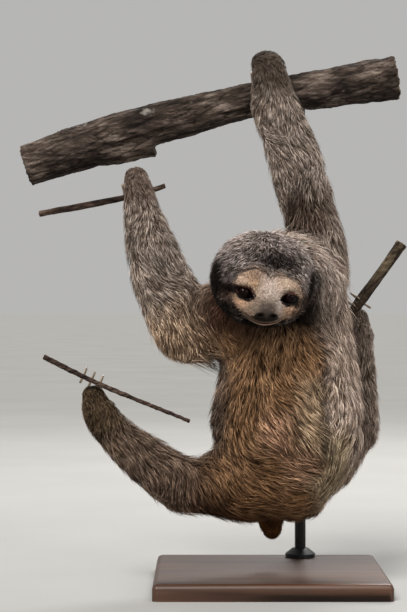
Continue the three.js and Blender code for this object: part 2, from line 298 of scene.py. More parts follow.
HEAD_AT = np.array((-10, -99, 291), dtype=float)
HEAD_TURN = np.array(Euler([math.radians(a) for a in (10, 7, 5)], "ZYX").to_matrix())
HEAD_HALF = np.array((49, 42, 45), dtype=float)
MUZZLE_AT = np.array((1.6, -28, -20), dtype=float)
MUZZLE_HALF = np.array((28, 27, 21), dtype=float)
MIDLINE = 1.6
EYES = {}
for side, eye_node in ((1, "eye_left"), (-1, "eye_right")):
    corners = np.array([list(corner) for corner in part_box(eye_node)]) / MM
    EYES[side] = (corners.mean(axis=0) - HEAD_AT) @ HEAD_TURN
EYE_RADIUS = (corners[1] - corners[0]).max() / 2
SLIT_TILT = {-1: 22, 1: 6}  # how much higher the outer corner is, in degrees
SLIT_HALF = (9.6, 4.25)
SLIT_UP = {-1: 0.7, 1: -0.8}
SLIT_ASIDE = -0.8
STRIPE_RISE = {-1: (1.6, 0.08), 1: (-1.0, -0.38)}  # the stripe's height at the eye and its slope
STRIPE_HALF = 4.4
NOSTRILS = ((-3.5, -23.4), (7.2, -23.1))
# The crease's outer edge below sets where the painted shadow round the head ends.
SHADOW_CREASE_WIDE = 1.09  # the dark crease's outer edge, as a share of the head's size
PARTING_AT = 47.5


def to_head(points):
    return (points - HEAD_AT) @ HEAD_TURN


def step(value, low, high):
    """0 below low, 1 above high and smooth between them."""
    t = np.clip((value - low) / (high - low), 0, 1)
    return t * t * (3 - 2 * t)


def hill(x, z, at, size):
    return np.exp(-(((x - at[0]) / size[0]) ** 2) - ((z - at[1]) / size[1]) ** 2)


def blend(old, new, share):
    share = np.asarray(share)
    return old + (new - old) * share.reshape(share.shape + (1,) * (old.ndim - share.ndim))


def unit(vectors):
    return vectors / (np.linalg.norm(vectors, axis=-1, keepdims=True) + 1e-9)


def head_share(points):
    """1 on the head, 0 away from it."""
    q = to_head(points)
    hood = np.linalg.norm((q - (0, 0, 2)) / HEAD_HALF, axis=1)
    muzzle = np.linalg.norm((q - MUZZLE_AT) / MUZZLE_HALF, axis=1)
    return 1 - step(np.minimum(hood, muzzle), 1.02, 1.12)


# The pale face's edge: its reach from its middle at each angle, in degrees from the animal's left side up.
MASK_MIDDLE = (1.6, -5.0)
MASK_EDGE = [
    (-123, 29), (-90, 31), (-56, 28.5), (-37, 33), (-20, 35), (5, 33), (30, 28), (64, 21.5), (88, 15),
    (118, 25.5), (135, 28), (156, 31), (180, 33), (195, 31.5), (211, 30),
]


def mask_share(q, wobble=0.0):
    """1 on the pale face, 0 off it."""
    x, z = q[:, 0] - MASK_MIDDLE[0], q[:, 2] - MASK_MIDDLE[1]
    angles, reaches = np.array(MASK_EDGE).T
    reach = np.interp(np.degrees(np.arctan2(z, x)), angles, reaches, period=360)
    return (1 - step(np.hypot(x, z) - reach + 1.2 * wobble, -2.5, 2.5)) * step(-q[:, 1], 6, 14)


def mouth_height(x):
    return -30.8 + 0.0168 * x**2


def eye_frame(q, side):
    """Places about an eye: outwards, up, the distance from its axis, and its slit, which is 1 on the edge."""
    x, z = side * (q[:, 0] - EYES[side][0]), q[:, 2] - EYES[side][2]
    tilt = math.radians(SLIT_TILT[side])
    u, v = x * math.cos(tilt) + z * math.sin(tilt), z * math.cos(tilt) - x * math.sin(tilt)
    u, v = u - SLIT_ASIDE, v - SLIT_UP[side]
    slit = np.abs(v) / (SLIT_HALF[1] * np.maximum(1 - (u / SLIT_HALF[0]) ** 2, 0.02))
    slit += 9 * np.maximum(np.abs(u) / SLIT_HALF[0] - 1, 0)
    return x, z, np.hypot(x, z), slit


def stripe_share(q, side, wobble):
    """The dark skin round an eye and the stripe from it to the side of the head."""
    x, z, _, slit = eye_frame(q, side)
    patch = 1 - step(slit + 0.1 * wobble, 1.5, 2.1)
    start, slope = STRIPE_RISE[side]
    half = STRIPE_HALF + 0.06 * np.maximum(x, 0)
    stripe = 1 - step(np.abs(z - start - slope * x) + 0.7 * wobble, half - 1.2, half + 1.2)
    reach = step(x, 2, 6) * step(-q[:, 1], 0, 8) * (1 - 0.25 * (side > 0) * step(x, 6, 12))
    return np.maximum(patch, stripe * reach)


# Patches of tone on the face: the tone, its middle and size across and up, and how far it takes over.
FACE_PATCHES = [
    ("brown_mask", (-4, 10), (14, 7), 0.9),
    ("bridge", (3, 0), (11, 13), 0.95),
    ("cream", (17, 6), (11, 8), 0.9),
    # A painted highlight down the lit side of the nose.
    ("bridge", (12.5, -14), (4.5, 10), 0.95),
    ("tawny", (-12, 3), (5, 6), 0.8),
    ("cream", (-23, 4.5), (5, 3), 0.7),
    ("peach", (-19, -16), (10, 4), 0.85),
    ("peach", (25, -19), (8, 4.5), 0.75),
    ("shoulder", (28.5, -22), (5, 4.5), 1.1),
    # The muzzle's grey fur, paler here as a painted highlight on its lit side.
    ("muzzle", (-9, -18.5), (8, 6), 0.9),
    ("muzzle", (1, -13), (8, 5), 0.6),
    ("nose", (MIDLINE, -17.6), (9.6, 7.8), 1.3),
]


def crease_shadow(q, wobble):
    """1 in the crease round the sides and the underside of the head, on the neck as on the head, where shadow
    is painted.
    """
    x, z = q[:, 0] - MIDLINE, q[:, 2] - 2
    ring = np.hypot(x / HEAD_HALF[0], z / HEAD_HALF[2]) + 0.012 * wobble
    low = 1 - step(z, 8, 20)
    band = step(ring, 0.86, 0.94) * (1 - step(ring, SHADOW_CREASE_WIDE, SHADOW_CREASE_WIDE + 0.1))
    return band * low * (1 - step(q[:, 1], 2, 22))


def hood_colours(q, out, on_head, wobble):
    """The crown, its dark band, the brown cheeks and the painted shadow under the head and beside it."""
    x, y, z = q.T
    tone = TONE_TABLE
    out = blend(out, tone["crown"], on_head)
    brow = np.maximum(hill(x, z, (8, 24), (23, 8.5)), 0.8 * hill(x, z, (21, 19), (9, 6)))
    band = np.maximum(on_head * step(-y, 4, 20) * brow, 0.45 * on_head * hill(x, z, (-32, 8), (11, 13)))
    out = blend(out, tone["crown_dark"], np.clip(band * 1.25, 0, 1))
    cheek = 0.8 * step(np.abs(x - MIDLINE), 20, 27) * (1 - step(z, -8, 4))
    out = blend(out, tone["shoulder"], on_head * cheek)
    # Painted shadow beside the head, under the chin and on the jowls.
    across = np.abs(x - MIDLINE + 1.2) + 0.8 * wobble
    beside = step(across, 38.5, 41) * (1 - step(z, 12, 21)) * (1 - step(y, -6, 12))
    below = 1 - step(z + 0.8 * wobble, -36, -30)
    jowl = step(np.abs(x - MIDLINE), 21, 28) * (1 - step(z, -22, -14))
    return blend(out, tone["painted_shadow"], on_head * np.clip(beside + below + jowl, 0, 1))


def head_colours(points, colours):
    """Lays the head's markings over the tones of the coat."""
    q = to_head(points)
    x, z = q[:, 0], q[:, 2]
    tone, wobble, on_head = TONE_TABLE, EDGE(points), head_share(points)
    # Painted shadow in the crease round the head.
    out = blend(colours, tone["painted_shadow"], 0.96 * crease_shadow(q, wobble))
    out = hood_colours(q, out, on_head, wobble)

    mask = mask_share(q, wobble) * on_head
    out = blend(out, tone["mask"], mask)
    for name, at, size, most in FACE_PATCHES:
        out = blend(out, tone[name], mask * np.clip(most * hill(x, z, at, size), 0, 0.96))
    freckle = step(FLECK(points), 1.5, 2.1) * hill(x, z, (0, -8), (22, 16))
    out = blend(out, tone["muzzle"], 0.6 * mask * freckle)
    out = lip_colours(x, z, out, mask_share(q) * on_head)
    for side in (-1, 1):
        out = blend(out, tone["stripe"], stripe_share(q, side, wobble) * on_head)
        _, up, _, slit = eye_frame(q, side)
        lid = np.exp(-(((slit - 1.3) / 0.25) ** 2)) * (up > 0)
        out = blend(out, tone["lid"], 0.45 * lid * on_head)
    return out


def lip_colours(x, z, out, mask):
    """The dark of nostrils and mouth, the brown lower lip, its pale rim with a painted highlight, and the
    painted shadow under it.
    """
    tone, above = TONE_TABLE, z - mouth_height(x)
    for at in NOSTRILS:
        out = blend(out, tone["nostril"], mask * np.clip(1.3 * hill(x, z, at, (3.2, 2.2)), 0, 1))
    narrow = 1 - step(np.abs(x - MIDLINE), 8, 14)
    dark = step(above, -1.0, 0.2) * (1 - step(above, 0.8 + 5.4 * narrow, 2.0 + 8.0 * narrow))
    septum = 0.4 * hill(x, z, (MIDLINE, -23), (2.2, 2.6))
    mouth = mask * dark * (1 - step(np.abs(x), 15, 22))
    out = blend(out, tone["nostril"], mouth * (0.7 + 0.28 * narrow) * (1 - septum))
    lip = (1 - step(above, -1.6, -0.4)) * step(above, -3.4, -2.4) * (1 - step(np.abs(x - 2), 13, 19))
    out = blend(out, tone["lip"], mask * lip)
    # The pale rim: pale hair with a painted highlight.
    rim = (1 - step(above, -3.2, -2.4)) * step(above, -8.2, -6.8) * (1 - step(np.abs(x - 1), 16, 21))
    out = blend(out, tone["lip_rim"], mask * rim)
    # Painted shadow under the lower lip.
    under = (1 - step(above, -8.6, -7.2)) * (1 - step(np.abs(x - 1), 24, 30))
    return blend(out, tone["painted_shadow"], mask * under)


def parting(points, reach):
    """1 on the line between belly and flank where the hair parts, falling off over that reach."""
    x, y, z = points.T
    line = np.exp(-(((x - PARTING_AT - 0.03 * (z - 160)) / reach) ** 2))
    return line * step(z, 105, 130) * (1 - step(z, 210, 232)) * step(-y, 30, 45)


def colours_at(points):
    """Root, middle and tip colours of the coat at each point, for the skin and for the hair on it."""
    shares = guide_shares(points)
    colours = np.tensordot(shares, GUIDE_TONES, axes=1)
    colours = colours * (1 + 0.08 * PATCH(points) + 0.06 * LOCKS(points))[:, None, None]
    # The parting is darker: partly the under-coat showing, partly painted shade in its groove.
    colours = colours * (1 - 0.75 * parting(points, 3.6))[:, None, None]
    return np.clip(head_colours(points, colours), 0, 1)


def flow_at(points):
    """The way the hair lies at each point, before it is laid on the skin."""
    ways = guide_shares(points) @ GUIDE_WAYS
    q = to_head(points)
    x, y, z = q[:, 0] - MIDLINE, q[:, 1], q[:, 2]
    crown = np.stack([x / 30, np.full_like(x, -0.45), -0.25 - np.abs(x) / 42], axis=1)
    crown[:, 1] += step(y, -5, 15) * 0.9
    face = unit(np.stack([x, np.full_like(x, -0.2), z + 15], axis=1))
    inner = blend(crown, face, mask_share(q)) @ HEAD_TURN.T
    return unit(blend(ways, inner, head_share(points)))


CROWN_LENGTH = 9.0
CROWN_DEPTH = 5.0


def coat_sizes(points):
    """Length of the hair and depth of the coat at each point, in millimetres."""
    shares = guide_shares(points)
    length, depth = shares @ GUIDE_LENGTHS, shares @ GUIDE_DEPTHS
    length = length * (1 - 0.62 * parting(points, 8))
    on_head = head_share(points)
    length, depth = blend(length, CROWN_LENGTH, on_head), blend(depth, CROWN_DEPTH, on_head)
    q = to_head(points)
    mask = mask_share(q) * on_head
    bald = hill(q[:, 0], q[:, 2], (MIDLINE, -24), (19, 13))
    return blend(length, 3.4 - 2.3 * bald, mask), blend(depth, 1.3 - 0.8 * bald, mask)


# ---------------------------------------------------------------- mesh helpers


def deselect():
    if bpy.context.object and bpy.context.object.mode != "OBJECT":
        bpy.ops.object.mode_set(mode="OBJECT")
    bpy.ops.object.select_all(action="DESELECT")


def only(obj):
    deselect()
    obj.select_set(True)
    bpy.context.view_layer.objects.active = obj
    return obj


def copy_of(nodes, name):
    """CAD nodes copied into one new object with its doubles merged."""
    deselect()
    copies = []
    for node in nodes:
        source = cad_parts[node]
        copy = bpy.data.objects.new(f"{name}_{node}", source.data.copy())
        bpy.context.scene.collection.objects.link(copy)
        copy.select_set(True)
        copies.append(copy)
    bpy.context.view_layer.objects.active = copies[0]
    if len(copies) > 1:
        bpy.ops.object.join()
    obj = bpy.context.view_layer.objects.active
    obj.name = name
    obj.data.materials.clear()
    bpy.ops.object.mode_set(mode="EDIT")
    bpy.ops.mesh.select_all(action="SELECT")
    bpy.ops.mesh.remove_doubles(threshold=0.01 * MM)
    bpy.ops.mesh.normals_make_consistent(inside=False)
    bpy.ops.object.mode_set(mode="OBJECT")
    return obj


def modify(obj, kind, **settings):
    only(obj)
    modifier = obj.modifiers.new(kind.title(), kind)
    for key, value in settings.items():
        setattr(modifier, key, value)
    bpy.ops.object.modifier_apply(modifier=modifier.name)


def places_of(mesh):
    flat = np.empty(len(mesh.vertices) * 3)
    mesh.vertices.foreach_get("co", flat)
    return flat.reshape(-1, 3) / MM


def normals_of(mesh):
    flat = np.empty(len(mesh.vertices) * 3)
    mesh.vertices.foreach_get("normal", flat)
    return flat.reshape(-1, 3)


def put_places(mesh, points):
    mesh.vertices.foreach_set("co", (points * MM).ravel())
    mesh.update()


def put_colours(mesh, name, colours):
    attribute = mesh.attributes.new(name, "FLOAT_COLOR", "POINT")
    rgba = np.ones((len(colours), 4))
    rgba[:, :3] = colours
    attribute.data.foreach_set("color", rgba.ravel())


def put_values(mesh, name, values):
    mesh.attributes.new(name, "FLOAT", "POINT").data.foreach_set("value", values)


def smooth(obj, angle=None):
    only(obj)
    if angle is None:
        bpy.ops.object.shade_smooth()
    else:
        bpy.ops.object.shade_smooth_by_angle(angle=math.radians(angle))


# ---------------------------------------------------------------- materials


def material(name, roughness=0.6, metallic=0.0, specular=0.4):
    made = bpy.data.materials.new(name)
    made.use_nodes = True
    shader = made.node_tree.nodes["Principled BSDF"]
    shader.inputs["Roughness"].default_value = roughness
    shader.inputs["Metallic"].default_value = metallic
    shader.inputs["Specular IOR Level"].default_value = specular
    return made, made.node_tree, shader


def node(tree, kind, **settings):
    made = tree.nodes.new("ShaderNode" + kind)
    for key, value in settings.items():
        if key in made.inputs:
            made.inputs[key].default_value = value
        else:
            setattr(made, key, value)
    return made


def noise_on(tree, scale, detail=6.0, stretch=(1, 1, 1), roughness=0.6):
    """Noise on object coordinates, stretched along an axis where stretch is under 1."""
    where = node(tree, "TexCoord")
    place = node(tree, "Mapping")
    place.inputs["Scale"].default_value = stretch
    made = node(tree, "TexNoise", Scale=scale, Detail=detail, Roughness=roughness)
    tree.links.new(where.outputs["Object"], place.inputs["Vector"])
    tree.links.new(place.outputs["Vector"], made.inputs["Vector"])
    return made.outputs["Fac"]


def ramp(tree, value, stops):
    made = node(tree, "ValToRGB")
    elements = made.color_ramp.elements
    while len(elements) < len(stops):
        elements.new(0.5)
    for element, (at, colour) in zip(elements, stops):
        element.position = at
        element.color = (*linear(colour), 1)
    tree.links.new(value, made.inputs["Fac"])
    return made.outputs["Color"]


def bump(tree, shader, value, strength, distance):
    made = node(tree, "Bump", Strength=strength, Distance=distance)
    tree.links.new(value, made.inputs["Height"])
    tree.links.new(made.outputs["Normal"], shader.inputs["Normal"])


def hair_material():
    made, tree, shader = material("coat_hair", roughness=0.5, specular=0.1)
    tint = node(tree, "Attribute", attribute_name="coat")
    tree.links.new(tint.outputs["Color"], shader.inputs["Base Color"])
    return made


def skin_material():
    made, tree, shader = material("skin", roughness=0.75, specular=0.1)
    tint = node(tree, "Attribute", attribute_name="coat")
    mottle = ramp(tree, noise_on(tree, 900, 3.0), [(0.3, (178, 178, 178)), (0.7, (255, 255, 255))])
    mixed = node(tree, "Mix", data_type="RGBA", blend_type="MULTIPLY")
    mixed.inputs["Factor"].default_value = 1.0
    tree.links.new(tint.outputs["Color"], mixed.inputs["A"])
    tree.links.new(mottle, mixed.inputs["B"])
    tree.links.new(mixed.outputs["Result"], shader.inputs["Base Color"])
    wet = node(tree, "Attribute", attribute_name="wet")
    gloss = node(tree, "MapRange")
    gloss.inputs["To Min"].default_value = 0.8
    gloss.inputs["To Max"].default_value = 0.5
    tree.links.new(wet.outputs["Fac"], gloss.inputs["Value"])
    tree.links.new(gloss.outputs["Result"], shader.inputs["Roughness"])
    bump(tree, shader, noise_on(tree, 1400, 4.0), 0.35, 0.0006)
    return made


# ---------------------------------------------------------------- skin

SKIN_VOXEL = 2.4
LID = 0.8  # how far the lids lie outside the eyeball
OVERLAP = 0.45  # closes the CAD's thin cuts before the remesh


def make_skin():
    obj = copy_of(FLESH, "skin")
    bpy.ops.object.mode_set(mode="EDIT")
    bpy.ops.mesh.select_all(action="SELECT")
    bpy.ops.transform.shrink_fatten(value=OVERLAP * MM)
    bpy.ops.object.mode_set(mode="OBJECT")
    modify(obj, "REMESH", mode="VOXEL", voxel_size=SKIN_VOXEL * MM)
    keep_largest(obj)
    faces = [list(face.vertices) for face in obj.data.polygons]
    outside = BVHTree.FromPolygons(places_of(obj.data).tolist(), faces)
    modify(obj, "SMOOTH", factor=0.5, iterations=10)
    points, normals = places_of(obj.data), normals_of(obj.data)
    put_places(obj.data, points - normals * (coat_sizes(points)[1] + OVERLAP)[:, None])
    modify(obj, "SMOOTH", factor=0.5, iterations=3)
    for _ in range(4):
        settle_depth(obj, outside)
    unwrap(obj)
    refine_face(obj)
    sculpt_face(obj)
    smooth(obj)
    return obj


def settle_depth(obj, outside):
    """Moves the skin back to the coat's depth under the outer surface, where smoothing has shifted it."""
    points, normals = places_of(obj.data), normals_of(obj.data)
    away = np.array([outside.find_nearest(p)[3] for p in points.tolist()])
    wanted = coat_sizes(points)[1] + OVERLAP
    move = np.clip(away - wanted, -0.8, 5)
    ends = np.empty(len(obj.data.edges) * 2, dtype=np.int32)
    obj.data.edges.foreach_get("vertices", ends)
    ends = ends.reshape(-1, 2)
    count = np.bincount(ends.ravel(), minlength=len(points)) + 1
    for _ in range(6):
        total = move + np.bincount(ends[:, 0], move[ends[:, 1]], len(points))
        total += np.bincount(ends[:, 1], move[ends[:, 0]], len(points))
        move = total / count
    put_places(obj.data, points + normals * move[:, None])


def keep_largest(obj):
    """Deletes any loose bit but the largest."""
    only(obj)
    bm = bmesh.new()
    bm.from_mesh(obj.data)
    bm.verts.ensure_lookup_table()
    left = set(bm.verts)
    groups = []
    while left:
        group = {left.pop()}
        edge = list(group)
        while edge:
            vertex = edge.pop()
            for link in vertex.link_edges:
                other = link.other_vert(vertex)
                if other in left:
                    left.discard(other)
                    group.add(other)
                    edge.append(other)
        groups.append(group)
    groups.sort(key=len)
    loose = [vertex for group in groups[:-1] for vertex in group]
    bmesh.ops.delete(bm, geom=loose, context="VERTS")
    bm.to_mesh(obj.data)
    bm.free()


def unwrap(obj):
    only(obj)
    obj.data.uv_layers.new(name="OFBake")
    bpy.ops.object.mode_set(mode="EDIT")
    bpy.ops.mesh.select_all(action="SELECT")
    bpy.ops.uv.smart_project(angle_limit=math.radians(60), island_margin=0.002)
    bpy.ops.object.mode_set(mode="OBJECT")


def refine_face(obj):
    """Cuts the face finer: over the mask, again round the eyes, nose and mouth, and once more on the lids."""

    def round_eyes(q, reach):
        return np.minimum(eye_frame(q, -1)[2], eye_frame(q, 1)[2]) < reach

    def at_mouth(q):
        return hill(q[:, 0], q[:, 2], (MIDLINE, -24), (27, 15)) > 0.37

    tests = [
        lambda q: (np.abs(q[:, 0] - MIDLINE) < 38) & (q[:, 2] > -42) & (q[:, 2] < 24) & (q[:, 1] < -12),
        lambda q: (round_eyes(q, 14) | at_mouth(q)) & (q[:, 1] < -16),
        lambda q: round_eyes(q, 11) & (q[:, 1] < -20),
    ]
    for test in tests:
        only(obj)
        chosen = test(to_head(places_of(obj.data)))
        bpy.ops.object.mode_set(mode="EDIT")
        bpy.ops.mesh.select_mode(type="VERT")
        bpy.ops.mesh.select_all(action="DESELECT")
        bpy.ops.object.mode_set(mode="OBJECT")
        obj.data.vertices.foreach_set("select", chosen)
        bpy.ops.object.mode_set(mode="EDIT")
        bpy.ops.mesh.subdivide(number_cuts=1, smoothness=0.0)
        bpy.ops.mesh.vertices_smooth(factor=0.5, repeat=3)
        bpy.ops.object.mode_set(mode="OBJECT")


def sculpt_face(obj):
    """Moves the face forwards into nose pad, nostrils, lips, brow and sockets, and then shapes the lids."""
    points = places_of(obj.data)
    q = to_head(points)
    x, z = q[:, 0], q[:, 2]
    front = step(-q[:, 1], 14, 22)
    out = 1.9 * hill(x, z, (MIDLINE, -18.0), (9.5, 6.0)) ** 0.8
    out += 0.9 * hill(x, z, (MIDLINE, -5), (5, 12))
    for at in NOSTRILS:
        out -= 3.4 * hill(x, z, at, (2.3, 1.5))
        out += 0.7 * hill(x, z, (at[0] * 1.5 - 0.8, at[1] + 1.5), (1.8, 2.2))
    above = z - mouth_height(x)
    width = 1 - step(np.abs(x), 16, 22)
    out -= 2.0 * np.exp(-((above / 0.9) ** 2)) * width
    out += 0.9 * np.exp(-(((above - 2.8) / 1.9) ** 2)) * width
    out += 2.3 * np.exp(-(((above + 5.8) / 3.0) ** 2)) * width
    out -= 0.7 * hill(x, z, (MIDLINE, -26.5), (0.9, 2.4))
    for side in (-1, 1):
        eye = EYES[side][[0, 2]]
        out -= 1.8 * hill(x, z, eye, (10.5, 8))
        out += 0.9 * hill(x, z, (eye[0], eye[1] + 9), (10, 3.2))
        out += 0.8 * hill(x, z, (eye[0] + side * 2, eye[1] - 10), (9, 3.5))
    q[:, 1] -= out * front
    for side in (-1, 1):
        shape_lids(q, side)
    put_places(obj.data, q @ HEAD_TURN.T + HEAD_AT)


def shape_lids(q, side):
    """Draws the skin over the eyeball as lids, and leaves the slit open."""
    _, _, around, slit = eye_frame(q, side)
    depth = q[:, 1] - EYES[side][1]
    near = (around < EYE_RADIUS + 4) & (depth < 6)
    lid_radius = EYE_RADIUS + LID
    over = -np.sqrt(np.maximum(lid_radius**2 - around**2, 0))
    lidded = np.where(around < lid_radius, np.minimum(depth, over), depth)
    inside = -np.sqrt(np.maximum((EYE_RADIUS - 1.5) ** 2 - around**2, 0))
    corner = np.maximum(inside, depth + 1.0)
    opened = np.where(around < EYE_RADIUS - 0.4, inside, corner)
    q[near, 1] = (EYES[side][1] + np.where(slit < 1, opened, lidded))[near]


def paint_skin(obj):
    """Gives the skin the coat's markings, darker under long hair as painted shade, and wet nose, lips and lid
    rims.
    """
    points = places_of(obj.data)
    q = to_head(points)
    colours = colours_at(points)
    mask = mask_share(q) * head_share(points)
    # Painted shade: the skin under the hair is darkened.
    shade = 0.5 * (colours[:, 0] + colours[:, 1]) * 0.7
    face = colours[:, 1] * (1 + 0.08 * FLECK(points))[:, None]
    tint = blend(shade, face, mask)
    nose = hill(q[:, 0], q[:, 2], (MIDLINE, -19), (8.5, 5.5))
    wet = np.clip(nose * 1.5 - 0.2, 0, 1) * mask
    above = q[:, 2] - mouth_height(q[:, 0])
    lips = np.exp(-(((above + 1.5) / 2) ** 2)) * (np.abs(q[:, 0]) < 18) * mask
    wet = np.maximum(wet, 0.7 * lips)
    for side in (-1, 1):
        slit = eye_frame(q, side)[3]
        inner = (1 - step(slit, 0.9, 1.1)) * mask
        tint = blend(tint, linear((24, 12, 10)), inner)
        wet = np.maximum(wet, (1 - step(slit, 1.0, 1.3)) * mask)
    put_colours(obj.data, "coat", np.clip(tint, 0, 1))
    put_values(obj.data, "wet", np.clip(wet, 0, 1))
    obj.data.materials.append(skin_material())
    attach(obj, "root")
    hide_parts(*FLESH)


# ---------------------------------------------------------------- coat

STATIONS = (0.0, 0.5, 1.0)  # where a strand's rings and its tip lie along it
RINGS = len(STATIONS) - 1
SIDES = 3
CORNERS = RINGS * SIDES + 1
STRAND_TRIANGLES = 2 * SIDES * (RINGS - 1) + SIDES + 1
PATCH_SIZE = 0.003
MOST_TRIANGLES = 190000
TUFT_LENGTHS = (0.75, 1.2)
STRAND_LENGTHS = (0.7, 1.12)
STRAND_WIDTHS = (0.7, 1.25)
STRAND_LIGHTS = (0.68, 1.32)
ROOT_WIDTH = 0.65  # a strand's width at its root, as a share of its own
ROOT_INSIDE = 0.25  # how far a strand starts inside the skin
TAPER = 0.45
FLATNESS = 0.55  # a strand's thickness as a share of its width
MOST_LIFT = 0.6  # how far a tip may stand off the skin, as a share of the hair's length


class Surface:
    """The skin as arrays, with a nearest-point search in millimetres."""

    def __init__(self, obj):
        mesh = obj.data
        self.points, self.normals = places_of(mesh), normals_of(mesh)
        mesh.calc_loop_triangles()
        count = len(mesh.loop_triangles)
        flat = np.empty(count * 3, dtype=np.int32)
        mesh.loop_triangles.foreach_get("vertices", flat)
        self.triangles = flat.reshape(-1, 3)
        loops = np.empty(count * 3, dtype=np.int32)
        mesh.loop_triangles.foreach_get("loops", loops)
        uvs = np.empty(len(mesh.loops) * 2)
        mesh.uv_layers["OFBake"].data.foreach_get("uv", uvs)
        self.uvs = uvs.reshape(-1, 2)[loops.reshape(-1, 3)]
        corners = self.points[self.triangles]
        across = np.cross(corners[:, 1] - corners[:, 0], corners[:, 2] - corners[:, 0])
        self.areas = np.linalg.norm(across, axis=1) / 2
        self.middles = corners.mean(axis=1)
        self.tree = BVHTree.FromPolygons(self.points.tolist(), self.triangles.tolist())

    def scatter(self, per_mm2):
        """Random roots, with that many to the square millimetre on each triangle: places, normals and UVs."""
        wanted = self.areas * per_mm2
        count = np.floor(wanted + rng.random(len(wanted))).astype(int)
        chosen = np.repeat(np.arange(len(count)), count)
        a, b = rng.random(len(chosen)), rng.random(len(chosen))
        over = a + b > 1
        a[over], b[over] = 1 - a[over], 1 - b[over]
        weights = np.stack([1 - a - b, a, b], axis=1)[:, :, None]
        corner = self.triangles[chosen]
        places = (self.points[corner] * weights).sum(axis=1)
        normals = (self.normals[corner] * weights).sum(axis=1)
        normals /= np.linalg.norm(normals, axis=1, keepdims=True)
        return places, normals, (self.uvs[chosen] * weights).sum(axis=1)

    def nearest(self, points):
        places, normals = np.empty_like(points), np.empty_like(points)
        for k, point in enumerate(points.tolist()):
            place, _, index, _ = self.tree.find_nearest(point)
            places[k] = place
            normals[k] = self.smooth_normal(index)
        return places, normals

    def smooth_normal(self, index):
        return self.normals[self.triangles[index]].mean(axis=0)


def comb(surface, roots, normals, length, lift, turn):
    """Lays a path from each root along the coat. Gives the stations' places, ways and normals."""
    place, normal, heading = roots, normals, np.zeros_like(roots)
    places, ways, outs = [roots], [], [normals]
    for before, at in zip(STATIONS, STATIONS[1:]):
        way = flow_at(place)
        way = way - normal * (way * normal).sum(axis=1, keepdims=True)
        way = unit(way + 0.35 * heading)
        side = np.cross(normal, way)
        way = unit(way * np.cos(turn)[:, None] + side * np.sin(turn)[:, None])
        place, normal = surface.nearest(place + way * (length * (at - before))[:, None])
        normal = unit(normal)
        rise = lift * (1 - (1 - at) ** 1.8)
        places.append(place + normal * rise[:, None])
        ways.append(way)
        outs.append(normal)
        heading = way
    ways.append(ways[-1])
    return np.stack(places, axis=1), np.stack(ways, axis=1), np.stack(outs, axis=1)


class Strands:
    """The strands of many tufts, and how each differs from the path of the tuft that owns it."""

    def __init__(self, strands, width, length, depth, style):
        total = len(width) * strands
        self.style = style
        self.owner = np.repeat(np.arange(len(width)), strands)
        spread = width * strands * style["spread"]
        self.offset = rng.uniform(-1, 1, (total, 2)) * spread[self.owner][:, None]
        self.length = rng.uniform(*STRAND_LENGTHS, total)
        self.wave = rng.uniform(0, 2 * math.pi, total)
        kind = rng.random(total)
        self.pale, self.dark = kind < style["pale"], kind > 1 - style["dark"]
        self.width = width[self.owner] * rng.uniform(*STRAND_WIDTHS, total) * self.by_kind(0.8, 1.15, 1.0)
        rise = rng.normal(0, style["rise"], total).clip(-0.5, 1) + self.by_kind(0.14, -0.12, 0)
        self.rise = rise * depth[self.owner]
        self.curl = style["curl"] * length[self.owner]
        self.astray = np.tan(rng.normal(0, style["splay"], total)) * length[self.owner]

    def by_kind(self, pale, dark, plain):
        return np.where(self.pale, pale, np.where(self.dark, dark, plain))

    def corners(self, paths, ways, outs, sides):
        """The corners of each strand's rings, and its tip."""
        verts = np.empty((len(self.owner), CORNERS, 3))
        start = paths[self.owner, 0]
        for k, at in enumerate(STATIONS):
            out, way, side = outs[self.owner, k], ways[self.owner, k], sides[self.owner, k]
            drift = self.curl * at * np.sin(self.wave + 3.4 * at) + self.astray * at
            aside = self.offset[:, 0] * (1 - self.style["gather"] * at) + drift
            ahead = self.offset[:, 1] * 0.8 * (1 - at)
            centre = start + (paths[self.owner, k] - start) * self.length[:, None]
            centre = centre + side * aside[:, None]
            centre = centre + way * ahead[:, None] + out * (self.rise * at)[:, None]
            if k == RINGS:
                verts[:, -1] = centre
                continue
            centre = centre - out * (ROOT_INSIDE if k == 0 else 0)
            half = 0.5 * self.width * (ROOT_WIDTH if k == 0 else 1.0 - TAPER * at**2)
            for s in range(SIDES):
                angle = math.pi / 2 + s * 2 * math.pi / SIDES
                reach = side * math.cos(angle) + out * (FLATNESS * math.sin(angle))
                verts[:, k * SIDES + s] = centre + reach * half[:, None]
        return verts

    def tones(self, paths, ways, sides):
        """Root, middle and tip tones at each station: those of the skin under the station, blurred."""
        total, start = len(self.owner), paths[self.owner, 0]
        seen_at = start + sides[self.owner, 0] * rng.normal(0, self.style["blur"], total)[:, None]
        seen_at = seen_at + ways[self.owner, 0] * rng.normal(0, self.style["blur"], total)[:, None]
        along = paths[self.owner] - start[:, None]
        return np.stack([colours_at(seen_at + 0.9 * along[:, k]) for k in range(len(STATIONS))], axis=1)

    def colours(self, tones, brightness):
        """Each strand runs from dark to light; some stay dark and some are pale for most of their length."""
        total = len(self.owner)
        tipped = self.by_kind(1.0, 0.0, 0.4) * rng.uniform(0.7, 1.2, total)
        begins = np.where(self.pale, 0.05, 0.35)
        body = np.where(self.dark, 0.35, 1.0)
        colour = np.empty((total, len(STATIONS), 3))
        for k, at in enumerate(STATIONS):
            low = blend(tones[:, k, 0], tones[:, k, 1], min(at * 2.8, 1) * body)
            colour[:, k] = blend(low, tones[:, k, 2], np.clip((at - begins) / 0.5, 0, 1) * tipped)
        colour *= (brightness[self.owner] * rng.uniform(*STRAND_LIGHTS, total))[:, None, None]
        return np.clip(colour, 0, 1)


